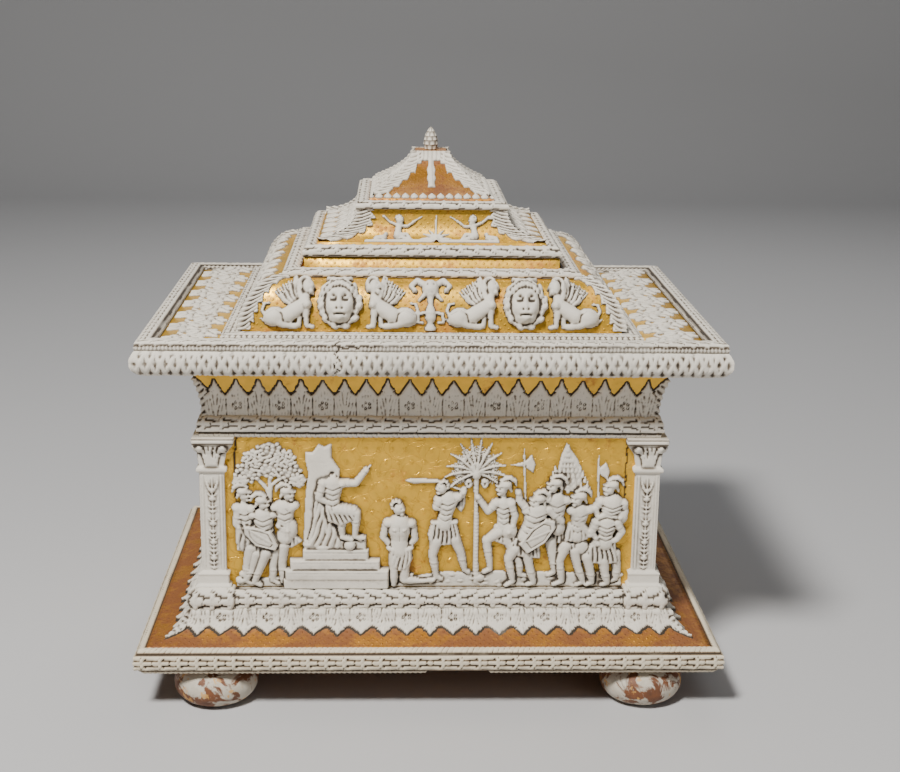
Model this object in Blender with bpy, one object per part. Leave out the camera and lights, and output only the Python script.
"""Reliquary casket of gilt wood with white cast relief, in metres, +Z up.

The casket stands on four bun feet with its underside at z = 0 and its front towards -Y. The hollow
box stands on a flared base. The hollow lid lifts off: a cavetto cornice, a wide board, a cushion
tier, a small cavetto tier, an ogee roof and a bud.

Reliefs are drawn in millimetres on a flat panel, u to the right, w up and h out, then fused,
cut flat behind, and bent on to the face that carries them.
"""

import math

import bmesh
import bpy
from mathutils import Vector

GAP = 0.0003

# Feet
FOOT_HEIGHT = 0.0200
FOOT_DIAMETER = 0.0410
FOOT_TREAD_DIAMETER = 0.0240
FOOT_NECK_DIAMETER = 0.0290
FOOT_INSET_FROM_END = 0.0370
FOOT_INSET_FROM_FRONT = 0.0210
FOOT_SIDES = 12

# Base
BASE_WIDTH = 0.2800
BASE_DEPTH = 0.2060
BASE_SLAB_HEIGHT = 0.0113
BASE_EDGE_PROJECTION = 0.0060
BASE_FLARE_HEIGHT = 0.0106
BASE_LEAF_LENGTH = 0.0128

# Box
BOX_WIDTH = 0.2128
BOX_DEPTH = 0.1390
BOX_HEIGHT = 0.0852
BOX_WALL = 0.0080
BOX_FLOOR = 0.0080
LOWER_MOULDING_HEIGHT = 0.0086
LOWER_MOULDING_PROJECTION = 0.0100
CORNER_BLOCK_LENGTH = 0.0250
CORNER_BLOCK_STEP = 0.0015
PILASTER_WIDTH = 0.0085
PILASTER_PROJECTION = 0.0030
PILASTER_FOOT_HEIGHT = 0.0095
CAPITAL_HEIGHT = 0.0150
CAPITAL_SPREAD = 0.0050

# Lid
LID_BAND_HEIGHT = 0.0094
LID_WALL = 0.0080
UPPER_MOULDING_PROJECTION = 0.0036
CORNICE_HEIGHT = 0.0262
CORNICE_PROJECTION = 0.0116
CORNICE_LEAF_LENGTH = 0.0200
BOARD_OVERHANG = 0.0230
BOARD_THICKNESS = 0.0138
LID_EDGE_PROJECTION = 0.0063
LID_EDGE_HEIGHT = 0.0108
LID_EDGE_DROP = 0.0022
RIM_LAUREL_WIDTH = 0.0050
RIM_LAUREL_HEIGHT = 0.0025
RIM_LAUREL_OVERHANG = 0.0048
BORDER_RELIEF_HEIGHT = 0.0017

# Cushion tier. Its foot stands clear of the rim laurel by the width of the leaf borders.
CUSHION_FOOT_WIDTH = 0.0090
CUSHION_FOOT_HEIGHT = 0.0026
BORDER_WIDTH_SIDE = 0.0274
BORDER_WIDTH_FRONT = 0.0033
RIM_TO_CUSHION = BOARD_OVERHANG - RIM_LAUREL_WIDTH - CUSHION_FOOT_WIDTH - GAP
CUSHION_WIDTH = BOX_WIDTH + 2 * (RIM_TO_CUSHION - BORDER_WIDTH_SIDE)
CUSHION_DEPTH = BOX_DEPTH + 2 * (RIM_TO_CUSHION - BORDER_WIDTH_FRONT)
CUSHION_HEIGHT = 0.0244
CUSHION_SWELL_SIDE = 0.0177
CUSHION_SWELL_FRONT = 0.0124
CUSHION_TOP_WIDTH = CUSHION_WIDTH - 2 * CUSHION_SWELL_SIDE
CUSHION_TOP_DEPTH = CUSHION_DEPTH - 2 * CUSHION_SWELL_FRONT
CUSHION_SHELL = 0.0070
CUSHION_STEPS = 6
CUSHION_TOP_MOULDING_WIDTH = 0.0078
CUSHION_TOP_MOULDING_HEIGHT = 0.0045

# Upper tier. Its foot fits inside the moulding on the cushion, and the tier stands back on it.
FILLET_CLEARANCE_SIDE = 0.0022
FILLET_CLEARANCE_FRONT = 0.0002
FILLET_WIDTH = CUSHION_TOP_WIDTH - 2 * (CUSHION_TOP_MOULDING_WIDTH + FILLET_CLEARANCE_SIDE)
FILLET_DEPTH = CUSHION_TOP_DEPTH - 2 * (CUSHION_TOP_MOULDING_WIDTH + FILLET_CLEARANCE_FRONT)
FILLET_HEIGHT = 0.0084
UPPER_TIER_SETBACK_SIDE = 0.0060
UPPER_TIER_SETBACK_FRONT = 0.0050
UPPER_TIER_WIDTH = FILLET_WIDTH - 2 * UPPER_TIER_SETBACK_SIDE
UPPER_TIER_DEPTH = FILLET_DEPTH - 2 * UPPER_TIER_SETBACK_FRONT
UPPER_TIER_HEIGHT = 0.0205
UPPER_TIER_HOLLOW_SIDE = 0.0205
UPPER_TIER_HOLLOW_FRONT = 0.0085
UPPER_TIER_TOP_WIDTH = UPPER_TIER_WIDTH - 2 * UPPER_TIER_HOLLOW_SIDE
UPPER_TIER_TOP_DEPTH = UPPER_TIER_DEPTH - 2 * UPPER_TIER_HOLLOW_FRONT
UPPER_TIER_STEPS = 4
UPPER_FOOT_MOULDING_WIDTH = 0.0065
UPPER_FOOT_MOULDING_HEIGHT = 0.0060

# Roof and bud
ROOF_MOULDING_WIDTH = 0.0064
ROOF_MOULDING_HEIGHT = 0.0042
ROOF_SETBACK_SIDE = 0.0039
ROOF_SETBACK_FRONT = 0.0040
ROOF_WIDTH = UPPER_TIER_TOP_WIDTH - 2 * ROOF_SETBACK_SIDE
ROOF_DEPTH = UPPER_TIER_TOP_DEPTH - 2 * ROOF_SETBACK_FRONT
ROOF_HEIGHT = 0.0195
ROOF_TOP_WIDTH = 0.0150
ROOF_STEPS = 5
BUD_HEIGHT = 0.0108
BUD_DIAMETER = 0.0090

# The panel that the front relief is drawn for, between the pilasters and above the moulding
DRAWN_PANEL_WIDTH = 196.0
DRAWN_PANEL_HEIGHT = 76.6
DRAWN_SIDE_WIDTH = 122.0
RELIEF_MARGIN = 3.4
DRAWN_CUSHION_WIDTH = 175.4
DRAWN_CUSHION_LENGTH = 31.0

# Leaves on each long and short side of the two crestings, and the pitch of carved mouldings
CRESTING_LEAVES = (21, 14)
CARVING_PITCH = 0.0240

# Half sizes and heights of the tiers, from the sizes above
BOX_HALF = (BOX_WIDTH / 2, BOX_DEPTH / 2)
BASE_HALF = (BASE_WIDTH / 2, BASE_DEPTH / 2)
BASE_Z = FOOT_HEIGHT + GAP
FLARE_Z = BASE_Z + BASE_SLAB_HEIGHT
BOX_Z = FLARE_Z + BASE_FLARE_HEIGHT + GAP
PANEL_Z = BOX_Z + LOWER_MOULDING_HEIGHT + GAP
RIM_Z = BOX_Z + BOX_HEIGHT
PANEL_HEIGHT = RIM_Z - PANEL_Z
LID_Z = RIM_Z + GAP
CORNICE_Z = LID_Z + LID_BAND_HEIGHT
BOARD_Z = CORNICE_Z + CORNICE_HEIGHT
BOARD_TOP_Z = BOARD_Z + BOARD_THICKNESS
CUSHION_Z = BOARD_TOP_Z + GAP
CUSHION_TOP_Z = CUSHION_Z + CUSHION_HEIGHT
FILLET_Z = CUSHION_TOP_Z + GAP
UPPER_TIER_Z = FILLET_Z + FILLET_HEIGHT
UPPER_TIER_TOP_Z = UPPER_TIER_Z + UPPER_TIER_HEIGHT
ROOF_Z = UPPER_TIER_TOP_Z + GAP
ROOF_TOP_Z = ROOF_Z + ROOF_MOULDING_HEIGHT + ROOF_HEIGHT

CORNERS = ((-1, -1), (1, -1), (1, 1), (-1, 1))
SIDE_NAMES = ("front", "right", "back", "left")
CORNER_NAMES = ("front_left", "front_right", "back_right", "back_left")


def clear_scene():
    for old in list(bpy.data.objects):
        bpy.data.objects.remove(old, do_unlink=True)


def make_material(name, colour, roughness, metallic):
    made = bpy.data.materials.new(name)
    made.use_nodes = True
    shader = made.node_tree.nodes["Principled BSDF"]
    shader.inputs["Base Color"].default_value = (*colour, 1.0)
    shader.inputs["Roughness"].default_value = roughness
    shader.inputs["Metallic"].default_value = metallic
    made.diffuse_color = (*colour, 1.0)
    return made


def add_object(name, mesh, finish, smooth_angle=None, turned_out=False):
    """Makes a bmesh a named object with its own material; turned_out says its faces already face out."""
    if not turned_out:
        bmesh.ops.recalc_face_normals(mesh, faces=mesh.faces)
    data = bpy.data.meshes.new(name)
    mesh.to_mesh(data)
    mesh.free()
    data.materials.append(make_material(name + "_finish", *finish))
    made = bpy.data.objects.new(name, data)
    bpy.context.scene.collection.objects.link(made)
    if smooth_angle is not None:
        data.shade_smooth()
        data.set_sharp_from_angle(angle=math.radians(smooth_angle))
    return made


GILDING = ((0.78, 0.52, 0.17), 0.35, 0.9)
WHITE_PASTE = ((0.80, 0.78, 0.73), 0.75, 0.0)
BARE_WOOD = ((0.30, 0.16, 0.08), 0.7, 0.0)


# Rectangular tiers and mitred frames


def rectangle(mesh, half_width, half_depth, z):
    return [mesh.verts.new((x * half_width, y * half_depth, z)) for x, y in CORNERS]


def join_rectangles(mesh, first, second):
    for k in range(4):
        after = (k + 1) % 4
        mesh.faces.new((first[k], first[after], second[after], second[k]))


def add_block(name, levels, finish):
    """A solid tier through levels of (half width, half depth, z), from the foot up."""
    mesh = bmesh.new()
    rings = [rectangle(mesh, *level) for level in levels]
    for first, second in zip(rings, rings[1:]):
        join_rectangles(mesh, first, second)
    mesh.faces.new(rings[0])
    mesh.faces.new(rings[-1])
    return add_object(name, mesh, finish)


def add_frame(name, section, finish):
    """A mitred frame whose closed section is a list of (half width, half depth, z)."""
    mesh = bmesh.new()
    rings = [rectangle(mesh, *level) for level in section]
    for first, second in zip(rings, rings[1:] + rings[:1]):
        join_rectangles(mesh, first, second)
    return add_object(name, mesh, finish)


def around(half, outline):
    """Levels from (out, z) points measured outwards from a rectangle's half sizes."""
    return [(half[0] + out, half[1] + out, z) for out, z in outline]


def quarter(run, rise, steps, hollow=False):
    """Points of a quarter ellipse from (0, 0) to (run, rise), bulging out or hollowed in."""
    points = []
    for i in range(steps + 1):
        angle = math.pi / 2 * i / steps
        if hollow:
            points.append((run * (1 - math.cos(angle)), rise * math.sin(angle)))
        else:
            points.append((run * math.sin(angle), rise * (1 - math.cos(angle))))
    return points


def add_round_frame(name, half, z, width, height, finish):
    """A plain half-round moulding that lies around a rectangle, its back on the rectangle."""
    outline = [(0, z), (width * 0.7, z), (width, z + height * 0.5)]
    outline += [(width * 0.7, z + height), (0, z + height)]
    return add_frame(name, around(half, outline), finish)


def add_carved_frame(name, half, z, width, height, finish, block=None):
    """A moulding carved into lumps along its crest; block=(length, step) steps its corners out."""
    mesh = bmesh.new()
    shape = ((0, 0, 0, 0), (1, 0.2, 0.76, 0.34), (1, 0.8, 0.76, 0.66), (0, 1, 0, 1))
    counts = [2 * round((half[k % 2] + width) / CARVING_PITCH) for k in range(4)]

    def section_at(k, i):
        """The four points of the section at station i of side k."""
        along, across = half[k % 2], half[1 - k % 2]
        share = 2 * i / counts[k] - 1
        full = i % 2 == 0
        step = 0.0
        if block and (1 - abs(share)) * along < block[0]:
            step = block[1]
        for out_full, up_full, out_thin, up_thin in shape:
            out = (out_full if full else out_thin) * width
            out += step if out else 0
            up = (up_full if full else up_thin) * height
            x, y = share * (along + out), -(across + out)
            for _ in range(k):
                x, y = -y, x
            yield (x, y, z + up)

    sides = []
    for k in range(4):
        sides.append([[mesh.verts.new(p) for p in section_at(k, i)] for i in range(counts[k])])
    for k in range(4):
        stations = sides[k] + [sides[(k + 1) % 4][0]]
        for first, second in zip(stations, stations[1:]):
            for j in range(3):
                mesh.faces.new((first[j], second[j], second[j + 1], first[j + 1]))
        back = [station[3] for station in stations] + [station[0] for station in reversed(stations)]
        mesh.faces.new(back)
    return add_object(name, mesh, finish)


# Faces that carry relief


class Face:
    """One side of a tier: turns drawn (u, s, h) into space, s along the tier's section."""

    def __init__(self, side, levels):
        self.side = side
        across = 1 - side % 2
        self.reach = [level[across] for level in levels]
        self.half = [level[1 - across] for level in levels]
        self.rise = [level[2] for level in levels]
        self.lengths = [0.0]
        slopes = []
        for i in range(len(levels) - 1):
            run = self.reach[i + 1] - self.reach[i]
            lift = self.rise[i + 1] - self.rise[i]
            length = math.hypot(run, lift)
            self.lengths.append(self.lengths[-1] + length)
            slopes.append((lift / length, -run / length))
        self.normals = [slopes[0]]
        for first, second in zip(slopes, slopes[1:]):
            size = math.hypot(first[0] + second[0], first[1] + second[1])
            self.normals.append(((first[0] + second[0]) / size, (first[1] + second[1]) / size))
        self.normals.append(slopes[-1])

    def length(self):
        return self.lengths[-1]

    def locate(self, s):
        last = len(self.lengths) - 2
        i = 0
        while i < last and s > self.lengths[i + 1]:
            i += 1
        return i, (s - self.lengths[i]) / (self.lengths[i + 1] - self.lengths[i])

    def half_at(self, s):
        i, t = self.locate(s)
        return self.half[i] + (self.half[i + 1] - self.half[i]) * t

    def point(self, u, s, h):
        i, t = self.locate(s)
        out = self.normals[i][0] + (self.normals[i + 1][0] - self.normals[i][0]) * t
        up = self.normals[i][1] + (self.normals[i + 1][1] - self.normals[i][1]) * t
        reach = self.reach[i] + (self.reach[i + 1] - self.reach[i]) * t + out * h
        z = self.rise[i] + (self.rise[i + 1] - self.rise[i]) * t + up * h
        x, y = u, -reach
        for _ in range(self.side):
            x, y = -y, x
        return Vector((x, y, z))


class Relief:
    """Overlapping simple solids, drawn in millimetres, that fuse into one casting."""

    BEHIND = -1.5

    def __init__(self):
        self.solids = []

    def loft(self, rings):
        """A closed solid through rings of points with equal counts."""
        mesh = bmesh.new()
        made = [[mesh.verts.new(point) for point in ring] for ring in rings]
        for first, second in zip(made, made[1:]):
            for k in range(len(first)):
                after = (k + 1) % len(first)
                mesh.faces.new((first[k], first[after], second[after], second[k]))
        mesh.faces.new(made[0])
        mesh.faces.new(made[-1])
        bmesh.ops.recalc_face_normals(mesh, faces=mesh.faces)
        self.solids.append(mesh)

    def limb(self, *points, broad=False, h=1.4):
        """A bent tapering limb through (u, w, radius) points, raised by h; broad tops are flat."""
        rings = []
        for i, (u, w, radius) in enumerate(points):
            before = points[max(i - 1, 0)]
            after = points[min(i + 1, len(points) - 1)]
            along = Vector((after[0] - before[0], after[1] - before[1])).normalized()
            outline = [(-radius, self.BEHIND), (radius, self.BEHIND)]
            if broad:
                outline += [(radius * 0.6, h + radius * 0.85), (-radius * 0.6, h + radius * 0.85)]
            else:
                outline.append((0.0, h + radius))
            rings.append([(u - along.y * side, w + along.x * side, height) for side, height in outline])
        self.loft(rings)

    def ball(self, u, w, ru, rw, h, turn=0.0, sides=6, flat=False):
        """A dome of radii ru and rw that rises to height h; a flat one has no shoulder."""
        rings = []
        levels = ((1.0, self.BEHIND), (0.94, h * 0.45), (0.45, h))
        if flat:
            levels = ((1.05, self.BEHIND), (0.8, h))
        for share, height in levels:
            ring = []
            for k in range(sides):
                angle = 2 * math.pi * (k + 0.5) / sides
                x, y = math.cos(angle) * ru * share, math.sin(angle) * rw * share
                c, s = math.cos(turn), math.sin(turn)
                ring.append((u + c * x - s * y, w + s * x + c * y, height))
            rings.append(ring)
        self.loft(rings)

    def plate(self, outline, h, slope=0.0):
        """A flat piece of this outline; slope draws its top in by that much."""
        centre = Vector((0, 0))
        for point in outline:
            centre += Vector(point) / len(outline)
        top = []
        for point in outline:
            inwards = (centre - Vector(point)).normalized() * slope
            top.append((point[0] + inwards.x, point[1] + inwards.y, h))
        self.loft([[(u, w, self.BEHIND) for u, w in outline], top])

    def joined(self, solver, nudge):
        """The union of the solids with one solver, cut flat at the panel's gap."""
        group = bpy.data.collections.new("casting")
        made = []
        for i, solid in enumerate(self.solids):
            data = bpy.data.meshes.new("casting")
            solid.to_mesh(data)
            # Each solid starts a little deeper and is moved a hair, so that no two faces lie in one plane.
            for vertex in data.vertices:
                vertex.co += Vector((0.0013, 0.0007, 0.0019)) * i * nudge
                if vertex.co.z < self.BEHIND / 2:
                    vertex.co.z -= 0.05 * i
            piece = bpy.data.objects.new("casting", data)
            made.append(piece)
            if i:
                group.objects.link(piece)
            else:
                bpy.context.scene.collection.objects.link(piece)
        if len(made) > 1:
            join = made[0].modifiers.new("Join", "BOOLEAN")
            join.operation = "UNION"
            join.operand_type = "COLLECTION"
            join.collection = group
            join.solver = solver
        block = bmesh.new()
        bmesh.ops.create_cube(block, size=1.0)
        bmesh.ops.scale(block, vec=(900, 900, 60), verts=block.verts)
        bmesh.ops.translate(block, vec=(0, 0, GAP * 1000 - 30), verts=block.verts)
        block_data = bpy.data.meshes.new("panel_side")
        block.to_mesh(block_data)
        block.free()
        panel_side = bpy.data.objects.new("panel_side", block_data)
        panel_side.hide_render = True
        panel_side.display_type = "WIRE"
        bpy.context.scene.collection.objects.link(panel_side)
        trim = made[0].modifiers.new("Trim", "BOOLEAN")
        trim.operation = "DIFFERENCE"
        trim.object = panel_side
        trim.solver = solver
        evaluated = made[0].evaluated_get(bpy.context.evaluated_depsgraph_get())
        result = bmesh.new()
        result.from_mesh(evaluated.to_mesh())
        evaluated.to_mesh_clear()
        for piece in made + [panel_side]:
            bpy.data.objects.remove(piece, do_unlink=True)
        bpy.data.collections.remove(group)
        return result

    def fused(self):
        """The union of the solids. The exact solver can fail on a crowd, so two results must agree."""
        sound = []
        for nudge in (1.0, 1.7, 2.6):
            for solver in ("EXACT", "MANIFOLD"):
                result = self.joined(solver, nudge)
                lowest = min((vertex.co.z for vertex in result.verts), default=-1.0)
                closed = all(len(edge.link_faces) == 2 for edge in result.edges)
                if not closed or lowest < GAP * 1000 - 0.01:
                    result.free()
                    continue
                volume = result.calc_volume()
                for other_volume, other in sound:
                    if abs(volume - other_volume) < 0.004 * volume:
                        return other
                sound.append((volume, result))
        return max(sound, key=lambda found: found[0])[1]

    def add(self, name, face, finish, scale=(1.0, 1.0), shift=(0.0, 0.0)):
        """Fuses the casting and bends it on to a face, scaled in u and w."""
        mesh = self.fused()
        for vertex in mesh.verts:
            vertex.co.x = (vertex.co.x * scale[0] + shift[0]) / 1000
            vertex.co.y = (vertex.co.y * scale[1] + shift[1]) / 1000
            vertex.co.z = max(vertex.co.z / 1000, GAP)
        for length in face.lengths[1:-1]:
            every = list(mesh.verts) + list(mesh.edges) + list(mesh.faces)
            bmesh.ops.bisect_plane(
                mesh, geom=every, plane_co=(0, length, 0), plane_no=(0, 1, 0), dist=1e-6
            )
        for vertex in mesh.verts:
            vertex.co = face.point(*vertex.co)
        return add_object(name, mesh, finish, turned_out=True)


def figure(r, head, shoulders, hips, arms=(), legs=(), h=1.6, build=1.0):
    """A relief figure from its joints: head, two shoulders, hips, arms and legs as chains."""
    middle = ((shoulders[0][0] + shoulders[1][0]) / 2, (shoulders[0][1] + shoulders[1][1]) / 2)
    has_head = head is not None
    head = head or (middle[0], middle[1] + 4.0)
    waist = (middle[0] * 0.4 + hips[0] * 0.6, middle[1] * 0.4 + hips[1] * 0.6)
    spread = abs(shoulders[0][0] - shoulders[1][0]) / 2 * build
    r.limb(
        (middle[0] * 0.3 + head[0] * 0.7, middle[1] * 0.3 + head[1] * 0.7, spread * 0.34),
        (middle[0], middle[1] - 2.0, spread * 0.9),
        (waist[0], waist[1], spread * 0.66),
        (hips[0], hips[1], spread * 0.78),
        broad=True,
        h=h,
    )
    if has_head:
        r.ball(head[0], head[1], 2.9 * build, 3.8 * build, h + 2.8 * build, sides=5)
    for chain in arms:
        radii = [1.9, 1.6, 1.3, 1.2][: len(chain)]
        r.limb(*[(u, w, radius * build) for (u, w), radius in zip(chain, radii)], h=h + 1.0)
    for chain in legs:
        radii = [2.3, 1.9, 1.3, 1.1][: len(chain)]
        r.limb(*[(u, w, radius * build) for (u, w), radius in zip(chain, radii)], h=h)


def helmet(r, u, w, facing, h=5.0):
    """A plumed helmet; facing is -1 when it looks left and 1 when it looks right."""
    r.ball(u, w + 1.8, 3.4, 2.6, h + 0.3, sides=5, flat=True)
    r.limb(
        (u - 1.0 * facing, w + 3.4, 1.3),
        (u - 4.2 * facing, w + 3.2, 1.5),
        (u - 5.6 * facing, w + 0.6, 0.7),
        h=h - 3.2,
    )


def front_left_casting():
    """The tree, three soldiers and the enthroned figure without a head on its three steps."""
    r = Relief()
    r.plate([(-81.4, 0.2), (-28.0, 0.2), (-28.0, 4.9), (-70.0, 5.0), (-81.0, 3.8)], 2.6)
    r.plate([(-94.4, 0.2), (-80.0, 0.2), (-81.5, 5.0), (-88.0, 10.5), (-94.4, 10.0)], 1.8)
    for u, w, ru, rw in (
        (-86.4, 64.3, 6.6, 5.6),
        (-69.2, 63.4, 6.8, 5.6),
        (-77.6, 63.0, 7.4, 6.0),
        (-76.6, 70.6, 6.2, 5.0),
    ):
        r.ball(u, w, ru, rw, 1.9, sides=7, flat=True)
    r.limb((-77.7, 36, 1.3), (-77.7, 50, 1.2), (-82.8, 58.4, 0.9), h=0.7)
    r.limb((-77.6, 49, 1.0), (-77.2, 59.0, 0.9), h=0.8)
    figure(
        r,
        (-89.6, 49.4),
        ((-93.0, 42.8), (-86.6, 42.0)),
        (-86.4, 25.0),
        arms=[[(-92.6, 41.6), (-94.0, 35.2), (-87.8, 25.4)]],
        legs=[[(-86.5, 20.0), (-88.7, 13.7), (-89.2, 6.5), (-88.0, 1.4)]],
        h=1.4,
    )
    helmet(r, -89.6, 49.4, 1, 4.4)
    figure(
        r,
        (-80.7, 45.4),
        ((-86.0, 39.2), (-75.4, 39.4)),
        (-79.6, 25.0),
        legs=[[(-79.0, 18.5), (-82.0, 11.0), (-85.0, 4.0), (-83.4, 1.2)]],
        h=2.2,
    )
    helmet(r, -80.7, 45.4, 1, 5.0)
    figure(
        r,
        (-69.2, 49.8),
        ((-73.6, 43.0), (-65.4, 43.8)),
        (-69.6, 26.5),
        arms=[[(-66.0, 43.6), (-70.4, 41.0), (-72.8, 34.0)]],
        legs=[
            [(-70.8, 27.0), (-71.7, 14.4), (-71.2, 4.2), (-68.6, 1.2)],
            [(-74.4, 12.5), (-73.4, 7.4), (-75.4, 2.0)],
        ],
        h=1.8,
    )
    helmet(r, -69.2, 49.8, 1, 4.8)
    r.plate([(-93.6, 27.5), (-85.0, 26.0), (-85.0, 21.0), (-93.6, 20.0)], 1.3)
    r.plate([(-86.6, 25.0), (-71.7, 24.0), (-72.5, 17.8), (-87.0, 15.6)], 3.2, slope=0.6)
    r.plate([(-73.0, 29.0), (-65.6, 29.4), (-61.4, 24.6), (-71.2, 21.6)], 2.9, slope=0.5)
    shield = [(-90.0, 34.4), (-76.6, 30.6), (-72.7, 23.0), (-74.7, 20.5), (-84.3, 23.4), (-89.4, 29.4)]
    r.plate(shield, 5.6, slope=0.9)
    r.ball(-68.2, 31.6, 4.6, 6.8, 5.2, sides=7)
    slab = [(-61.6, 20.0), (-60.6, 45.0), (-59.2, 60.0), (-60.3, 71.0), (-56.4, 70.6)]
    slab += [(-53.4, 75.4), (-50.8, 73.8), (-47.3, 75.6), (-47.8, 67.6), (-43.8, 63.0), (-46.0, 20.0)]
    r.plate(slab, 2.0)
    r.plate([(-69.8, 4.4), (-19.9, 4.4), (-20.4, 9.8), (-23.4, 12.4), (-66.0, 12.4), (-69.8, 10.2)], 5.2)
    r.plate([(-66.8, 9.0), (-23.4, 9.0), (-24.4, 15.0), (-28.4, 17.6), (-61, 17.6), (-66.6, 15.3)], 4.4)
    r.plate([(-61.9, 14.0), (-29.3, 14.0), (-31.2, 25.7), (-40.8, 25.7), (-42, 21.2), (-61.9, 21.2)], 3.5)
    r.plate([(-55, 50), (-49, 42), (-45, 33), (-41.3, 20.6), (-60.6, 22.4), (-56.5, 33)], 3.0, slope=1.0)
    figure(
        r,
        None,
        ((-51.6, 56.0), (-42.2, 55.6)),
        (-47.2, 41.5),
        arms=[
            [(-51.6, 55.6), (-53.4, 48.0), (-43.6, 43.8)],
            [(-45.4, 55.0), (-35.6, 55.7), (-30.9, 62.6)],
        ],
        legs=[
            [(-46.0, 42.0), (-35.6, 40.2), (-36.2, 27.6), (-34.4, 26.2)],
            [(-46.4, 41.0), (-43.4, 37.0), (-41.8, 27.4), (-40.0, 26.2)],
        ],
        h=2.4,
    )
    r.limb((-47.2, 56.0, 1.6), (-46.8, 59.6, 1.4), broad=True, h=2.4)
    r.plate([(-49.5, 44.5), (-41.6, 44.0), (-35.4, 41.8), (-37.0, 36.4), (-46.0, 34.4)], 4.4, slope=0.8)
    r.ball(-39.0, 23.2, 2.7, 2.7, 4.8)
    return r


def palm_crown(r, u, w):
    """The fronds of the palm as one star-shaped piece."""
    tips = [(-14.6, -3.0), (-14.4, 1.6), (-14.6, 6.2), (-11.4, 11.2), (-5.6, 14.6), (0.4, 15.6)]
    tips += [(6.0, 15.0), (11.0, 11.6), (16.0, 7.4), (16.6, 1.8), (12.8, -3.2)]
    outline = [(u - 1.2, w - 6.0)]
    for i, (du, dw) in enumerate(tips):
        outline.append((u + du, w + dw))
        if i + 1 < len(tips):
            mean_u = (du + tips[i + 1][0]) / 2
            mean_w = (dw + tips[i + 1][1]) / 2
            outline.append((u + mean_u * 0.55, w + mean_w * 0.55))
    outline.append((u + 1.2, w - 6.0))
    r.plate(outline, 1.5)
    r.ball(u, w - 1.0, 3.0, 4.2, 2.6)


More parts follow.
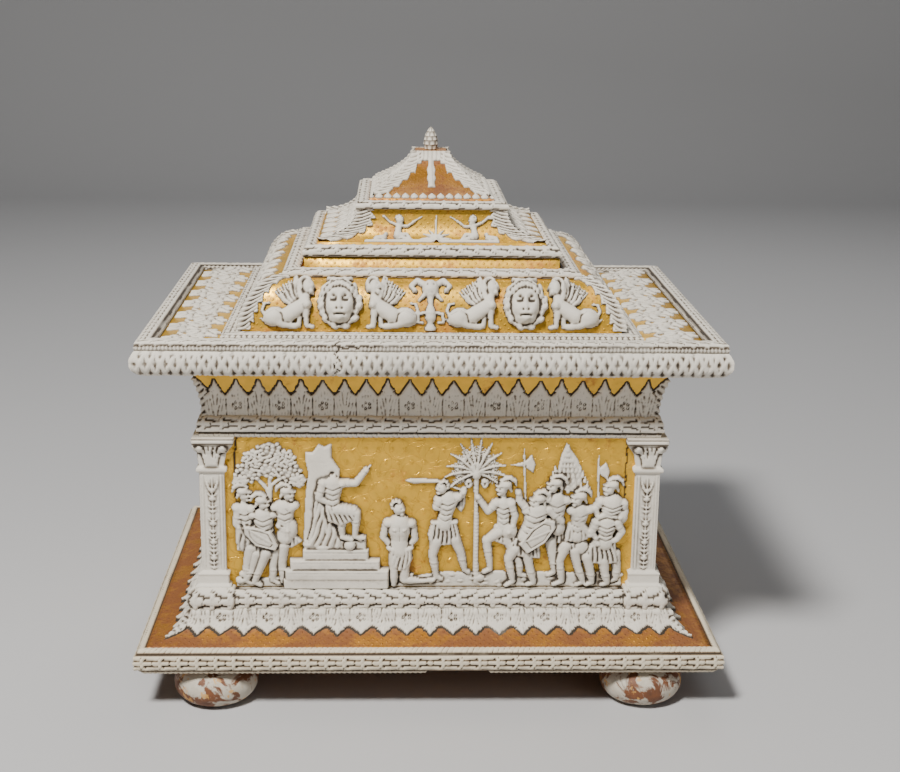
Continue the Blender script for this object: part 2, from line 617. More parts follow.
def front_right_casting():
    """The kneeling prisoner, the executioner, the palm and six marching soldiers."""
    r = Relief()
    r.plate([(-19.0, 0.2), (94.4, 0.2), (94.4, 8.6), (60, 9), (20, 8.8), (5, 7.4), (-19.0, 4.6)], 1.6)
    figure(
        r,
        (-16.6, 42.6),
        ((-21.4, 34.8), (-8.6, 34.6)),
        (-14.9, 18.0),
        arms=[
            [(-21.2, 34.4), (-22.6, 27.0), (-18.0, 21.2)],
            [(-8.8, 34.2), (-7.4, 26.0), (-11.0, 21.2)],
        ],
        legs=[[(-17.0, 16.0), (-17.2, 1.0)], [(-12.2, 16.0), (-12.2, 2.2), (-4.0, 2.6), (3.2, 4.6)]],
        h=2.2,
        build=0.92,
    )
    cloth = [(-19.4, 21.0), (-8.8, 21.0), (-9.2, 16.0), (-12.4, 11.8), (-15.0, 11.6), (-18.8, 15.0)]
    r.plate(cloth, 4.8, slope=0.6)
    figure(
        r,
        (5.7, 53.4),
        ((3.2, 46.8), (13.2, 48.4)),
        (7.0, 33.0),
        arms=[
            [(3.4, 46.4), (3.2, 42.8), (9.6, 42.8), (16.2, 51.6)],
            [(13.2, 48.4), (15.4, 50.4), (16.6, 52.0)],
        ],
        legs=[
            [(2.6, 25.0), (1.6, 17.0), (2.6, 7.5), (4.6, 3.8)],
            [(12.0, 26.0), (14.8, 18.0), (16.8, 9.4), (18.4, 8.4)],
        ],
        h=1.9,
    )
    r.plate([(-0.6, 35.0), (13.0, 35.5), (15.1, 24.3), (0.2, 22.3), (-1.2, 31.0)], 3.8, slope=0.7)
    r.plate([(12.0, 49.5), (17.0, 50.6), (16.4, 43.0), (14.6, 39.8), (12.0, 43.0)], 1.5)
    r.plate([(-12.4, 56.3), (-9.5, 57.8), (4.0, 57.2), (4.0, 55.2), (-8.5, 55.0)], 1.6)
    r.limb((22.6, 1.0, 1.5), (22.3, 30.0, 1.2), (22.0, 57.0, 1.4), broad=True, h=0.7)
    palm_crown(r, 22.0, 61.0)
    r.ball(17.2, 54.2, 1.6, 2.4, 2.0)
    r.ball(27.4, 54.4, 1.6, 2.4, 2.0)
    figure(
        r,
        (35.4, 53.2),
        ((31.0, 45.4), (38.8, 45.4)),
        (35.2, 31.5),
        arms=[[(30.8, 45.2), (28.0, 40.6), (22.4, 48.8)], [(38.8, 45.0), (40.6, 39.0), (40.8, 33.6)]],
        legs=[
            [(33.0, 30.0), (27.4, 25.4), (29.8, 10.0), (26.8, 7.9)],
            [(37.6, 28.2), (43.4, 13.6), (43.8, 7.2)],
        ],
        h=1.6,
    )
    helmet(r, 35.4, 53.2, -1, 4.6)
    r.plate([(31.0, 33.5), (40.2, 33.0), (42.6, 25.2), (36.9, 23.4), (30.8, 25.6)], 3.0, slope=0.4)
    r.ball(37.6, 30.8, 4.4, 4.4, 4.5, sides=7, flat=True)
    figure(
        r,
        (60.4, 54.4),
        ((57.0, 47.0), (65.6, 46.0)),
        (62.0, 33.0),
        legs=[[(58.0, 25.0), (59.9, 15.5), (61.0, 8.6), (57.8, 6.4)]],
        h=1.6,
    )
    helmet(r, 60.4, 54.4, -1, 4.6)
    r.plate([(56.4, 35.0), (65.0, 35.0), (64.4, 24.6), (56.2, 23.6)], 2.2, slope=0.4)
    figure(
        r,
        (52.0, 46.0),
        ((46.2, 41.4), (57.4, 42.4)),
        (46.0, 27.5),
        arms=[[(49.0, 40.6), (43.2, 46.4), (42.4, 51.2)], [(57.6, 42.4), (64.6, 35.6), (56.4, 41.6)]],
        legs=[
            [(40.6, 20.0), (38.2, 15.8), (40.8, 3.6), (38.4, 1.2)],
            [(46.8, 18.5), (48.2, 12.0), (50.8, 2.6), (48.6, 1.2)],
        ],
        h=2.6,
    )
    helmet(r, 52.0, 46.0, -1, 5.6)
    r.plate([(42.6, 26.5), (52.6, 26.0), (53.8, 15.6), (44.0, 16.6), (36.6, 18.8)], 4.0, slope=0.6)
    shield = [(42.6, 24.4), (46.9, 18.8), (56.0, 25.2), (60.8, 33.4), (59.8, 37.4)]
    shield += [(55.4, 38.4), (46.4, 31.0)]
    r.plate(shield, 6.2, slope=0.9)
    figure(
        r,
        (72.2, 47.6),
        ((68.8, 41.2), (76.6, 41.6)),
        (70.8, 28.0),
        arms=[[(69.4, 41.0), (73.0, 34.6), (77.2, 29.0)]],
        legs=[
            [(64.6, 21.0), (63.5, 15.0), (64.5, 3.6), (61.2, 1.4)],
            [(71.3, 19.0), (72.3, 12.0), (74.0, 3.4), (72.0, 1.2)],
        ],
        h=2.2,
    )
    helmet(r, 72.2, 47.6, -1, 5.0)
    r.plate([(67.0, 35.0), (75.0, 34.0), (76.8, 27.0), (67.6, 23.4), (65.2, 25.8)], 4.4, slope=0.7)
    r.plate([(64.4, 25.0), (70.0, 24.0), (69.0, 18.6), (60.8, 19.4)], 3.8, slope=0.5)
    r.ball(73.4, 21.6, 3.9, 4.3, 4.2, sides=6, flat=True)
    figure(
        r,
        (87.2, 53.2),
        ((82.2, 45.6), (93.6, 44.8)),
        (87.0, 36.0),
        arms=[[(84.6, 44.4), (80.2, 41.6), (83.0, 37.0)]],
        h=1.8,
    )
    helmet(r, 87.2, 53.2, -1, 4.8)
    r.ball(92.2, 38.8, 4.1, 4.5, 4.2, sides=6, flat=True)
    figure(
        r,
        (85.4, 39.0),
        ((80.4, 35.8), (90.2, 36.0)),
        (85.0, 24.0),
        arms=[[(90.2, 35.6), (93.2, 31.4), (91.0, 27.0), (80.6, 24.2)]],
        legs=[
            [(77.6, 16.5), (77.0, 10.2), (79.6, 2.4), (77.6, 1.2)],
            [(84.4, 15.5), (84.8, 10.0), (86.6, 2.6), (84.4, 1.2)],
            [(90.0, 15.5), (92.0, 9.0), (90.0, 5.0)],
        ],
        h=2.8,
    )
    r.plate([(79.4, 26.0), (90.2, 26.0), (91.8, 13.8), (84.0, 12.4), (73.2, 15.4)], 4.6, slope=0.6)
    r.limb((47.4, 38.0, 0.8), (44.8, 73.6, 0.6), h=0.6)
    r.plate([(37.3, 64.8), (46.4, 65.8), (49.4, 71.0), (51.4, 60.6), (47.0, 63.4), (37.3, 64.0)], 1.1)
    r.limb((82.4, 40.0, 1.0), (80.8, 67.2, 0.7), h=0.6)
    r.plate([(80.4, 65.6), (82.2, 65.0), (86.8, 67.2), (86.8, 59.0), (82.6, 61.8), (80.4, 61.4)], 1.1)
    cypress = [(65.0, 76.2), (62.4, 70.0), (60.8, 62.0), (60.6, 52.0)]
    cypress += [(72.2, 50.0), (73.0, 59.6), (71.2, 67.0)]
    r.plate(cypress, 1.3)
    return r


def side_casting(half):
    """A plainer scene for a hidden side: soldiers either side of a tree on a strip of ground."""
    r = Relief()
    r.plate([(-half, 0.2), (half, 0.2), (half, 6.0), (0, 7.4), (-half, 6.0)], 1.6)
    r.limb((0, 4.0, 1.3), (0.4, 58.0, 1.2), h=0.8)
    r.ball(-4.8, 60.0, 7.4, 6.0, 2.0, sides=6, flat=True)
    r.ball(5.0, 60.6, 7.4, 6.0, 2.1, sides=6, flat=True)
    count = 2
    for i in range(count):
        u = half * (2 * i + 1 - count) / (count + 0.4)
        facing = 1 if u < 0 else -1
        figure(
            r,
            (u, 46.0),
            ((u - 4.6, 39.6), (u + 4.6, 39.6)),
            (u, 25.0),
            arms=[[(u + 4.0 * facing, 39.0), (u + 7.4 * facing, 32.0), (u + 9.8 * facing, 37.0)]],
            legs=[[(u - 1.8, 22.0), (u - 3.2, 3.0)], [(u + 1.8, 22.0), (u + 3.8, 3.0)]],
            h=1.8,
        )
        helmet(r, u, 46.0, facing, 4.6)
        skirt = [(u - 4.2, 28.0), (u + 4.2, 28.0), (u + 6.4, 16.5), (u - 6.0, 16.5)]
        r.plate(skirt, 3.4, slope=0.5)
    return r


def sphinx_casting(u, facing, turned=False):
    """A seated winged sphinx at u, looking right with facing 1; turned looks back over its wing."""
    r = Relief()
    f = facing
    r.limb((u - 9.5 * f, 3.2, 1.6), (u - 2.0 * f, 5.0, 3.0), (u + 5.6 * f, 10.5, 2.8), broad=True, h=1.4)
    r.ball(u - 8.6 * f, 5.4, 4.4, 3.6, 3.4, turn=0.3 * f)
    r.limb((u + 5.6 * f, 9.5, 1.7), (u + 5.0 * f, 1.6, 1.1), broad=True, h=1.2)
    look = -1 if turned else 1
    r.ball(u + 6.8 * f + 0.6 * look * f, 17.2, 2.4, 3.0, 3.8)
    r.limb((u + 5.4 * f, 8.0, 2.6), (u + 6.6 * f, 15.8, 1.4), broad=True, h=1.4)
    wing = [(u + 4.6 * f, 12.4), (u + 1.6 * f, 9.4), (u - 3.4 * f, 15.4)]
    wing += [(u - 5.4 * f, 22.0), (u + 0.4 * f, 18.4)]
    r.plate(wing, 2.2, slope=0.4)
    r.limb((u - 11.6 * f, 4.0, 0.8), (u - 13.4 * f, 8.4, 0.7), (u - 11.2 * f, 11.0, 0.6), h=0.7)
    return r


def mask_casting(u):
    """A calm frontal mask in wavy hair."""
    r = Relief()
    hair = []
    for k in range(16):
        angle = 2 * math.pi * (k + 0.5) / 16
        reach = 1.0 if k % 2 else 0.86
        hair.append((u + 10.0 * reach * math.cos(angle), 13.2 + 12.2 * reach * math.sin(angle)))
    r.plate(hair, 3.6, slope=2.2)
    r.ball(u, 12.4, 5.9, 8.2, 6.4, sides=8)
    r.limb((u, 16.2, 0.8), (u, 11.0, 1.6), h=5.8)
    return r


def grotesque_casting(u):
    """The central leafy grotesque head over a small vase with volutes."""
    r = Relief()
    r.ball(u, 18.6, 4.4, 4.2, 4.4, sides=8)
    for side in (-1, 1):
        r.limb((u + 2.0 * side, 20.0, 2.2), (u + 6.4 * side, 22.4, 1.6), (u + 8.2 * side, 18.6, 1.0), h=1.2)
        r.limb((u + 1.0 * side, 8.0, 1.0), (u + 5.0 * side, 5.6, 1.0), (u + 4.0 * side, 2.4, 0.9), h=1.0)
    r.limb((u, 1.6, 3.0), (u, 5.0, 1.4), (u, 9.0, 2.8), (u, 14.0, 1.6), (u, 17.0, 2.2), broad=True, h=1.0)
    return r


def putti_casting():
    """Two seated children with long scarves either side of a leafy plant."""
    r = Relief()
    r.plate([(-27, 0.6), (27, 0.6), (27, 2.2), (0, 3.0), (-27, 2.2)], 1.2)
    r.limb((0, 1.0, 2.2), (0, 7.0, 1.0), (0, 14.6, 0.9), broad=True, h=0.9)
    for angle in (-50, 50):
        lean = math.radians(angle)
        tip = (8.4 * math.sin(lean), 2.0 + 8.4 * math.cos(lean))
        r.limb((0, 2.0, 1.0), (tip[0] * 0.6, tip[1] * 0.66, 1.3), (tip[0], tip[1], 0.4), h=0.8)
    for side in (-1, 1):
        u = 18.0 * side
        r.ball(u, 12.6, 1.9, 2.1, 3.2)
        r.limb((u, 11.6, 1.7), (u, 2.0, 2.2), broad=True, h=1.2)
        r.limb((u, 4.4, 1.5), (u - 4.0 * side, 6.0, 1.2), (u - 4.6 * side, 2.0, 0.9), h=1.4)
        r.limb((u, 10.4, 0.9), (u - 5.0 * side, 11.0, 0.7), (u - 9.0 * side, 13.6, 0.8), h=1.0)
        r.limb((u, 10.4, 0.9), (u + 5.4 * side, 13.0, 0.8), h=1.0)
    return r


def scroll_casting(half, low, high, thick):
    """A running band of leaves for a plain side: a lobed outline that rises towards its middle."""
    r = Relief()
    middle = (low + high) / 2
    count = 2 * round(half / (high - low) * 0.6) + 1
    upper, lower = [], []
    for i in range(2 * count + 1):
        u = -half + half * i / count
        reach = (high - low) / 2 * (0.62 if i % 2 == 0 else 1.0)
        upper.append((u, middle + reach))
        lower.append((u, middle - reach))
    ring = lower + upper[::-1]
    crest = [(u, middle + (w - middle) * 0.3, thick) for u, w in ring]
    r.loft([[(u, w, r.BEHIND) for u, w in ring], [(u, w, thick * 0.5) for u, w in ring], crest])
    return r


# Single pieces


def add_foot(name, x, y):
    """A squashed ball foot with a flat tread, a round bulge and a neck under the base."""
    mesh = bmesh.new()
    tread, bulge, neck = FOOT_TREAD_DIAMETER / 2, FOOT_DIAMETER / 2, FOOT_NECK_DIAMETER / 2
    outline = [(tread, 0.0)]
    for degrees in (-30, 0, 32):
        angle = math.radians(degrees)
        outline.append((bulge * math.cos(angle), FOOT_HEIGHT * (0.46 + 0.5 * math.sin(angle))))
    outline += [(neck, FOOT_HEIGHT * 0.86), (neck, FOOT_HEIGHT)]
    rings = []
    for radius, z in outline:
        ring = []
        for k in range(FOOT_SIDES):
            angle = 2 * math.pi * k / FOOT_SIDES
            ring.append(mesh.verts.new((x + radius * math.cos(angle), y + radius * math.sin(angle), z)))
        rings.append(ring)
    for first, second in zip(rings, rings[1:]):
        for k in range(FOOT_SIDES):
            after = (k + 1) % FOOT_SIDES
            mesh.faces.new((first[k], first[after], second[after], second[k]))
    mesh.faces.new(rings[0])
    mesh.faces.new(rings[-1])
    return add_object(name, mesh, BARE_WOOD, smooth_angle=50)


def add_feet():
    for (sx, sy), name in zip(CORNERS, CORNER_NAMES):
        x, y = sx * (BASE_HALF[0] - FOOT_INSET_FROM_END), sy * (BASE_HALF[1] - FOOT_INSET_FROM_FRONT)
        add_foot("bun_foot_" + name, x, y)


def flare_levels():
    """The base's hollow flare, from the slab's top edge up to the platform under the box."""
    foot = (BASE_HALF[0] - BASE_EDGE_PROJECTION - GAP, BASE_HALF[1] - BASE_EDGE_PROJECTION - GAP)
    run = foot[0] - (BOX_HALF[0] + LOWER_MOULDING_PROJECTION)
    curve = quarter(run, BASE_FLARE_HEIGHT, 4)
    return foot, [(foot[0] - inset, foot[1] - inset, FLARE_Z + rise) for inset, rise in curve]


def add_base():
    foot, levels = flare_levels()
    add_block("base_board", [(foot[0], foot[1], BASE_Z)] + levels, GILDING)
    add_carved_frame(
        "base_edge_moulding",
        (foot[0] + GAP, foot[1] + GAP),
        BASE_Z,
        BASE_EDGE_PROJECTION,
        BASE_SLAB_HEIGHT,
        WHITE_PASTE,
    )
    faces = [Face(side, levels) for side in range(4)]
    add_cresting("base_leaf_cresting", faces, BASE_LEAF_LENGTH, downwards=True)


def add_cresting(name, faces, length, downwards=False):
    """A strip of upright leaves around a hollow tier, drawn from its root along the section."""
    mesh = bmesh.new()
    root, valley, rib = 0.0004, length * 0.55, length * 0.45
    lift, crest = GAP + 0.0006, GAP + 0.0017
    roots, valleys, leaves = [], [], []

    def corner(face, share, s, h):
        """A point at this share of the side, mitred where two sides meet."""
        if downwards:
            s = face.length() - s
        i, _ = face.locate(s)
        out = h * face.normals[i][0] if abs(share) > 0.99 else 0
        return face.point(share * (face.half_at(s) + out), s, h)

    for side, face in enumerate(faces):
        count = CRESTING_LEAVES[side % 2]
        for i in range(count):
            share = 2 * i / count - 1
            middle = share + 1 / count
            tall = length if i % 2 else length * 0.9
            roots.append([mesh.verts.new(corner(face, share, root, h)) for h in (lift, GAP)])
            valleys.append([mesh.verts.new(corner(face, share, valley, h)) for h in (lift, GAP)])
            rise = mesh.verts.new(corner(face, middle, rib, crest))
            tips = [mesh.verts.new(corner(face, middle, tall, h)) for h in (lift, GAP)]
            leaves.append((rise, tips))
    total = len(leaves)
    for i, (rise, tips) in enumerate(leaves):
        after = (i + 1) % total
        front = [roots[i][0], roots[after][0], valleys[after][0], tips[0], valleys[i][0]]
        back = [roots[i][1], roots[after][1], valleys[after][1], tips[1], valleys[i][1]]
        for k in range(5):
            mesh.faces.new((front[k], front[(k + 1) % 5], rise))
        mesh.faces.new((back[0], back[1], back[2], back[4]))
        mesh.faces.new((back[2], back[3], back[4]))
        for k in (0, 2, 3):
            mesh.faces.new((front[k], front[k + 1], back[k + 1], back[k]))
    return add_object(name, mesh, WHITE_PASTE)


def add_pilaster(name, turn):
    """A pilaster that wraps one corner of the box: foot, shaft, astragal and spreading capital."""
    mesh = bmesh.new()
    low = PANEL_Z
    top = RIM_Z
    foot = low + PILASTER_FOOT_HEIGHT
    neck = top - CAPITAL_HEIGHT
    shaft = (PILASTER_WIDTH, PILASTER_PROJECTION)
    spread = CAPITAL_SPREAD
    levels = [(shaft[0] + 0.0024, shaft[1] + 0.0034, low)]
    levels += [(shaft[0] + 0.0024, shaft[1] + 0.0034, low + PILASTER_FOOT_HEIGHT * 0.3)]
    levels += [(shaft[0] + 0.0014, shaft[1] + 0.0020, low + PILASTER_FOOT_HEIGHT * 0.45)]
    levels += [(shaft[0] + 0.0014, shaft[1] + 0.0020, low + PILASTER_FOOT_HEIGHT * 0.8)]
    levels += [(*shaft, foot), (*shaft, neck - 0.0022)]
    levels += [(shaft[0] + 0.0014, shaft[1] + 0.0014, neck - 0.0012), (*shaft, neck)]
    levels += [(shaft[0] + spread * 0.2, shaft[1] + spread * 0.1, neck + CAPITAL_HEIGHT * 0.4)]
    levels += [(shaft[0] + spread, shaft[1] + spread * 0.6, neck + CAPITAL_HEIGHT * 0.82)]
    levels += [(shaft[0] + spread, shaft[1] + spread * 0.6, top)]
    sx, sy = CORNERS[turn]
    rings = []
    for width, out, z in levels:
        outline = ((-out, -out), (width, -out), (width, -GAP), (-GAP, -GAP), (-GAP, width), (-out, width))
        ring = []
        for along, across in outline:
            x, y = sx * (BOX_HALF[0] - along), sy * (BOX_HALF[1] - across)
            ring.append(mesh.verts.new((x, y, z)))
        rings.append(ring)
    for first, second in zip(rings, rings[1:]):
        for k in range(6):
            after = (k + 1) % 6
            mesh.faces.new((first[k], first[after], second[after], second[k]))
    mesh.faces.new(rings[0])
    mesh.faces.new(rings[-1])
    return add_object(name, mesh, WHITE_PASTE)


def add_box():
    half_width, half_depth = BOX_HALF
    inner = (half_width - BOX_WALL, half_depth - BOX_WALL)
    mesh = bmesh.new()
    levels = [(half_width, half_depth, BOX_Z), (half_width, half_depth, RIM_Z)]
    levels += [(inner[0], inner[1], RIM_Z), (inner[0], inner[1], BOX_Z + BOX_FLOOR)]
    rings = [rectangle(mesh, *level) for level in levels]
    for first, second in zip(rings, rings[1:]):
        join_rectangles(mesh, first, second)
    mesh.faces.new(rings[0])
    mesh.faces.new(rings[-1])
    add_object("box_carcass", mesh, GILDING)
    add_carved_frame(
        "lower_laurel_moulding",
        (half_width + GAP, half_depth + GAP),
        BOX_Z,
        LOWER_MOULDING_PROJECTION,
        LOWER_MOULDING_HEIGHT,
        WHITE_PASTE,
        block=(CORNER_BLOCK_LENGTH, CORNER_BLOCK_STEP),
    )
    for turn, name in enumerate(CORNER_NAMES):
        add_pilaster("corner_pilaster_" + name, turn)


def add_box_reliefs():
    panel = [(BOX_HALF[0], BOX_HALF[1], PANEL_Z), (BOX_HALF[0], BOX_HALF[1], RIM_Z)]
    faces = [Face(side, panel) for side in range(4)]
    clear = PILASTER_WIDTH + 2 * GAP
    wide = (BOX_WIDTH - 2 * clear) * 1000 / DRAWN_PANEL_WIDTH
    deep = (BOX_DEPTH - 2 * clear) * 1000 / DRAWN_SIDE_WIDTH
    tall = PANEL_HEIGHT * 1000 / DRAWN_PANEL_HEIGHT
    front_left_casting().add("front_relief_left", faces[0], WHITE_PASTE, (wide, tall))
    front_right_casting().add("front_relief_right", faces[0], WHITE_PASTE, (wide, tall))
    back = side_casting(DRAWN_PANEL_WIDTH / 2 - RELIEF_MARGIN)
    back.add("back_relief", faces[2], WHITE_PASTE, (wide, tall))
    for side in (1, 3):
        casting = side_casting(DRAWN_SIDE_WIDTH / 2 - RELIEF_MARGIN)
        casting.add(SIDE_NAMES[side] + "_relief", faces[side], WHITE_PASTE, (deep, tall))


def cornice_levels():
    curve = quarter(CORNICE_HEIGHT, CORNICE_PROJECTION, 5)
    return [(BOX_HALF[0] + out, BOX_HALF[1] + out, CORNICE_Z + up) for up, out in curve]


def cushion_levels():
    insets = quarter(1.0, 1.0, CUSHION_STEPS, hollow=True)
    levels = []
    for inset, rise in insets:
        half_width = CUSHION_WIDTH / 2 - (CUSHION_WIDTH - CUSHION_TOP_WIDTH) / 2 * inset
        half_depth = CUSHION_DEPTH / 2 - (CUSHION_DEPTH - CUSHION_TOP_DEPTH) / 2 * inset
        levels.append((half_width, half_depth, CUSHION_Z + CUSHION_HEIGHT * rise))
    return levels


def add_lid():
    levels = cornice_levels()
    board = (BOX_HALF[0] + BOARD_OVERHANG, BOX_HALF[1] + BOARD_OVERHANG)
    opening = (CUSHION_WIDTH / 2 - CUSHION_SHELL, CUSHION_DEPTH / 2 - CUSHION_SHELL)
    inner = (BOX_HALF[0] - LID_WALL, BOX_HALF[1] - LID_WALL)
    opening = (min(opening[0], inner[0]), min(opening[1], inner[1]))
    section = [(BOX_HALF[0], BOX_HALF[1], LID_Z)] + levels
    section += [(board[0], board[1], BOARD_Z), (board[0], board[1], BOARD_TOP_Z)]
    section += [(opening[0], opening[1], BOARD_TOP_Z), (opening[0], opening[1], BOARD_Z)]
    section += [(inner[0], inner[1], BOARD_Z), (inner[0], inner[1], LID_Z)]
    clean = [level for i, level in enumerate(section) if level != section[i - 1]]
    add_frame("lid_case", clean, GILDING)
    add_carved_frame(
        "upper_laurel_moulding",
        (BOX_HALF[0] + GAP, BOX_HALF[1] + GAP),
        LID_Z,
        UPPER_MOULDING_PROJECTION,
        LID_BAND_HEIGHT - GAP,
        WHITE_PASTE,
    )
    faces = [Face(side, levels) for side in range(4)]
    add_cresting("cornice_leaf_cresting", faces, CORNICE_LEAF_LENGTH)
    add_carved_frame(
        "lid_edge_moulding",
        (board[0] + GAP, board[1] + GAP),
        BOARD_TOP_Z - LID_EDGE_DROP - LID_EDGE_HEIGHT,
        LID_EDGE_PROJECTION,
        LID_EDGE_HEIGHT,
        WHITE_PASTE,
    )
    low = BOARD_TOP_Z - LID_EDGE_DROP + GAP
    crest = CUSHION_Z + RIM_LAUREL_HEIGHT
    shoulder = crest - RIM_LAUREL_HEIGHT * 0.2
    outline = [(GAP, low), (RIM_LAUREL_OVERHANG, low), (RIM_LAUREL_OVERHANG, BOARD_TOP_Z)]
    outline += [(RIM_LAUREL_OVERHANG * 0.6, shoulder), (-RIM_LAUREL_WIDTH * 0.2, crest)]
    outline += [(-RIM_LAUREL_WIDTH * 0.8, shoulder), (-RIM_LAUREL_WIDTH, CUSHION_Z)]
    outline += [(GAP, CUSHION_Z)]
    add_frame("lid_rim_laurel", around(board, outline), WHITE_PASTE)
    return board[0] - RIM_LAUREL_WIDTH, board[1] - RIM_LAUREL_WIDTH


def add_lid_borders(rim):
    """Leaf scrolls on the lid board, beside the cushion."""
    inner = CUSHION_WIDTH / 2 + CUSHION_FOOT_WIDTH + 2 * GAP
    width = (rim[0] - inner) * 1000 - 1.0
    length = rim[1] * 1000 - 2.0
    for side in (1, 3):
        flat = [(rim[0], rim[1], BOARD_TOP_Z), (inner, rim[1], BOARD_TOP_Z)]
        casting = scroll_casting(length, 0.8, width, BORDER_RELIEF_HEIGHT * 1000)
        casting.add("lid_border_foliage_" + SIDE_NAMES[side], Face(side, flat), WHITE_PASTE)


def add_cushion():
    levels = cushion_levels()
    shell = CUSHION_SHELL
    inner_foot = (CUSHION_WIDTH / 2 - shell, CUSHION_DEPTH / 2 - shell)
    inner_top = (CUSHION_TOP_WIDTH / 2 - shell, CUSHION_TOP_DEPTH / 2 - shell)
    mesh = bmesh.new()
    section = [(*inner_top, CUSHION_TOP_Z - shell)]
    section += [(*inner_foot, CUSHION_Z + CUSHION_HEIGHT * 0.4), (*inner_foot, CUSHION_Z)] + levels
    rings = [rectangle(mesh, *level) for level in section]
    for first, second in zip(rings, rings[1:]):
        join_rectangles(mesh, first, second)
    mesh.faces.new(rings[0])
    mesh.faces.new(rings[-1])
    add_object("cushion_tier", mesh, GILDING)
    half = (CUSHION_WIDTH / 2 + GAP, CUSHION_DEPTH / 2 + GAP)
    add_round_frame(
        "cushion_foot_moulding", half, CUSHION_Z, CUSHION_FOOT_WIDTH, CUSHION_FOOT_HEIGHT, WHITE_PASTE
    )
    faces = [Face(side, levels) for side in range(4)]
    wide = CUSHION_WIDTH * 1000 / DRAWN_CUSHION_WIDTH
    tall = faces[0].length() * 1000 / DRAWN_CUSHION_LENGTH
    lift = CUSHION_FOOT_HEIGHT * 1000
    for number, (u, facing, turned) in enumerate(
        ((-63.0, 1, False), (-21.4, -1, True), (19.6, 1, False), (62.0, -1, False))
    ):
        casting = sphinx_casting(u, facing, turned)
        casting.add("sphinx_%d" % (number + 1), faces[0], WHITE_PASTE, (wide, tall), (0, lift))
    for name, u in (("left", -44.4), ("right", 42.6)):
        mask_casting(u).add("mask_" + name, faces[0], WHITE_PASTE, (wide, tall), (0, lift))
    grotesque_casting(-1.0).add("grotesque", faces[0], WHITE_PASTE, (wide, tall), (0, lift))
    for side in (1, 2, 3):
        half_length = (CUSHION_WIDTH if side == 2 else CUSHION_DEPTH) * 500 - 21
        casting = scroll_casting(half_length, 5.0, 20.0, 2.6)
        casting.add("cushion_foliage_" + SIDE_NAMES[side], faces[side], WHITE_PASTE)
    add_hip_leaves("cushion_acanthus", levels, 0.0080, 0.0016, 0.15)
    inset = CUSHION_TOP_MOULDING_WIDTH
    top = (CUSHION_TOP_WIDTH / 2 - inset, CUSHION_TOP_DEPTH / 2 - inset)
    add_round_frame(
        "cushion_top_moulding",
        top,
        FILLET_Z,
        CUSHION_TOP_MOULDING_WIDTH,
        CUSHION_TOP_MOULDING_HEIGHT,
        WHITE_PASTE,
    )


def add_hip_leaves(name, levels, spread, thick, start):
    """A leaf folded over each of the four hips of a tier, from share start of its height up."""
    first, last = levels[0][2], levels[-1][2]
    used = [level for level in levels if level[2] >= first + (last - first) * start]
    for (sx, sy), corner_name in zip(CORNERS, CORNER_NAMES):
        mesh = bmesh.new()
        rings = []
        for i, (half_width, half_depth, z) in enumerate(used):
            share = i / (len(used) - 1)
            reach = spread * (0.45 + 0.9 * math.sin(math.pi * (0.12 + 0.8 * share)))
            reach *= 1.0 if i % 2 else 0.72
            reach = min(reach, 0.7 * min(half_width, half_depth))
            near, far = 2 * GAP, 2 * GAP + thick
            outline = ((far, far), (-reach, far * 0.8), (-reach, near))
            outline += ((near, near), (near, -reach), (far * 0.8, -reach))
            ring = []
            for along, across in outline:
                x, y = sx * (half_width + along), sy * (half_depth + across)
                ring.append(mesh.verts.new((x, y, z + GAP)))
            rings.append(ring)
        for below, above in zip(rings, rings[1:]):
            for k in range(6):
                after = (k + 1) % 6
                mesh.faces.new((below[k], below[after], above[after], above[k]))
        mesh.faces.new(rings[0])
        mesh.faces.new(rings[-1])
        add_object(name + "_" + corner_name, mesh, WHITE_PASTE)


def upper_tier_levels():
    """The small tier's hollow sides, from above its foot moulding to its top."""
    start = UPPER_TIER_Z + UPPER_FOOT_MOULDING_HEIGHT
    curve = quarter(1.0, 1.0, UPPER_TIER_STEPS)
    levels = []
    for inset, rise in curve:
        half_width = UPPER_TIER_WIDTH / 2 - (UPPER_TIER_WIDTH - UPPER_TIER_TOP_WIDTH) / 2 * inset
        half_depth = UPPER_TIER_DEPTH / 2 - (UPPER_TIER_DEPTH - UPPER_TIER_TOP_DEPTH) / 2 * inset
        levels.append((half_width, half_depth, start + (UPPER_TIER_TOP_Z - start) * rise))
    return levels


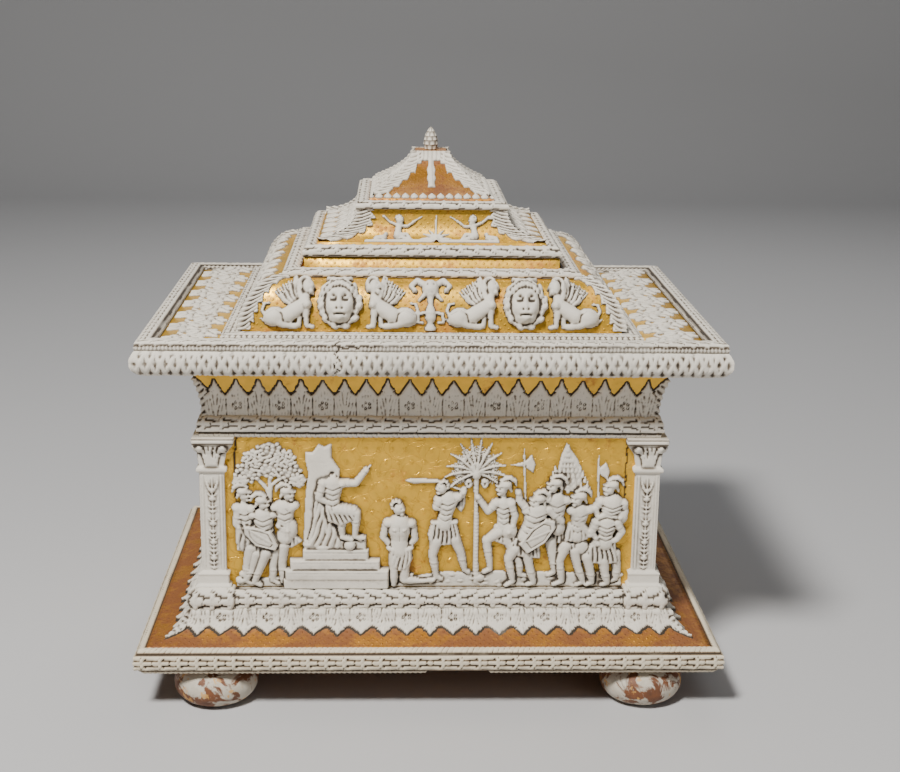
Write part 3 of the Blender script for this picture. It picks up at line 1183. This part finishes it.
def add_upper_tier():
    levels = upper_tier_levels()
    foot = [(FILLET_WIDTH / 2, FILLET_DEPTH / 2, z) for z in (FILLET_Z, UPPER_TIER_Z)]
    foot += [(UPPER_TIER_WIDTH / 2, UPPER_TIER_DEPTH / 2, UPPER_TIER_Z)]
    add_block("upper_tier", foot + levels, GILDING)
    half = (UPPER_TIER_WIDTH / 2 + GAP, UPPER_TIER_DEPTH / 2 + GAP)
    add_round_frame(
        "upper_foot_moulding",
        half,
        UPPER_TIER_Z + GAP,
        UPPER_FOOT_MOULDING_WIDTH,
        UPPER_FOOT_MOULDING_HEIGHT,
        WHITE_PASTE,
    )
    faces = [Face(side, levels) for side in range(4)]
    putti_casting().add("putti_relief", faces[0], WHITE_PASTE)
    for side in (1, 2, 3):
        casting = scroll_casting(26.0, 2.0, 12.0, 2.2)
        casting.add("upper_foliage_" + SIDE_NAMES[side], faces[side], WHITE_PASTE)
    roof_foot = (ROOF_WIDTH / 2 + GAP, ROOF_DEPTH / 2 + GAP)
    add_round_frame(
        "roof_foot_moulding", roof_foot, ROOF_Z, ROOF_MOULDING_WIDTH, ROOF_MOULDING_HEIGHT, WHITE_PASTE
    )


def roof_levels():
    """The ogee roof: hollow at its foot, swelling near the top."""
    levels = []
    for i in range(ROOF_STEPS + 1):
        share = i / ROOF_STEPS
        inset = 1 - (1 - share) ** 1.75
        half_width = ROOF_WIDTH / 2 - (ROOF_WIDTH - ROOF_TOP_WIDTH) / 2 * inset
        half_depth = ROOF_DEPTH / 2 - (ROOF_DEPTH - ROOF_TOP_WIDTH) / 2 * inset
        levels.append((half_width, half_depth, ROOF_Z + ROOF_MOULDING_HEIGHT + ROOF_HEIGHT * share))
    return levels


def add_roof():
    levels = roof_levels()
    add_block("roof", [(ROOF_WIDTH / 2, ROOF_DEPTH / 2, ROOF_Z)] + levels, GILDING)
    add_hip_leaves("roof_acanthus", levels, 0.0080, 0.0012, 0.1)
    add_bud()


def add_bud():
    """The leafy bud on the roof: a knobbed egg whose knobs are set in offset rows."""
    mesh = bmesh.new()
    sides = 10
    low = ROOF_TOP_Z + GAP
    rings = []
    for i, (share, radius) in enumerate(((0, 0.62), (0.2, 0.98), (0.45, 1.0), (0.7, 0.78), (0.9, 0.4))):
        ring = []
        for k in range(sides):
            angle = 2 * math.pi * (k + 0.5 * (i % 2)) / sides
            reach = BUD_DIAMETER / 2 * radius * (1.0 if (k + i) % 2 else 0.86)
            x, y = reach * math.cos(angle), reach * math.sin(angle)
            ring.append(mesh.verts.new((x, y, low + BUD_HEIGHT * share)))
        rings.append(ring)
    for first, second in zip(rings, rings[1:]):
        for k in range(sides):
            after = (k + 1) % sides
            mesh.faces.new((first[k], first[after], second[after], second[k]))
    mesh.faces.new(rings[0])
    tip = mesh.verts.new((0, 0, low + BUD_HEIGHT))
    for k in range(sides):
        mesh.faces.new((rings[-1][k], rings[-1][(k + 1) % sides], tip))
    return add_object("bud_finial", mesh, WHITE_PASTE)


def build():
    clear_scene()
    add_feet()
    add_base()
    add_box()
    add_box_reliefs()
    rim = add_lid()
    add_lid_borders(rim)
    add_cushion()
    add_upper_tier()
    add_roof()


build()
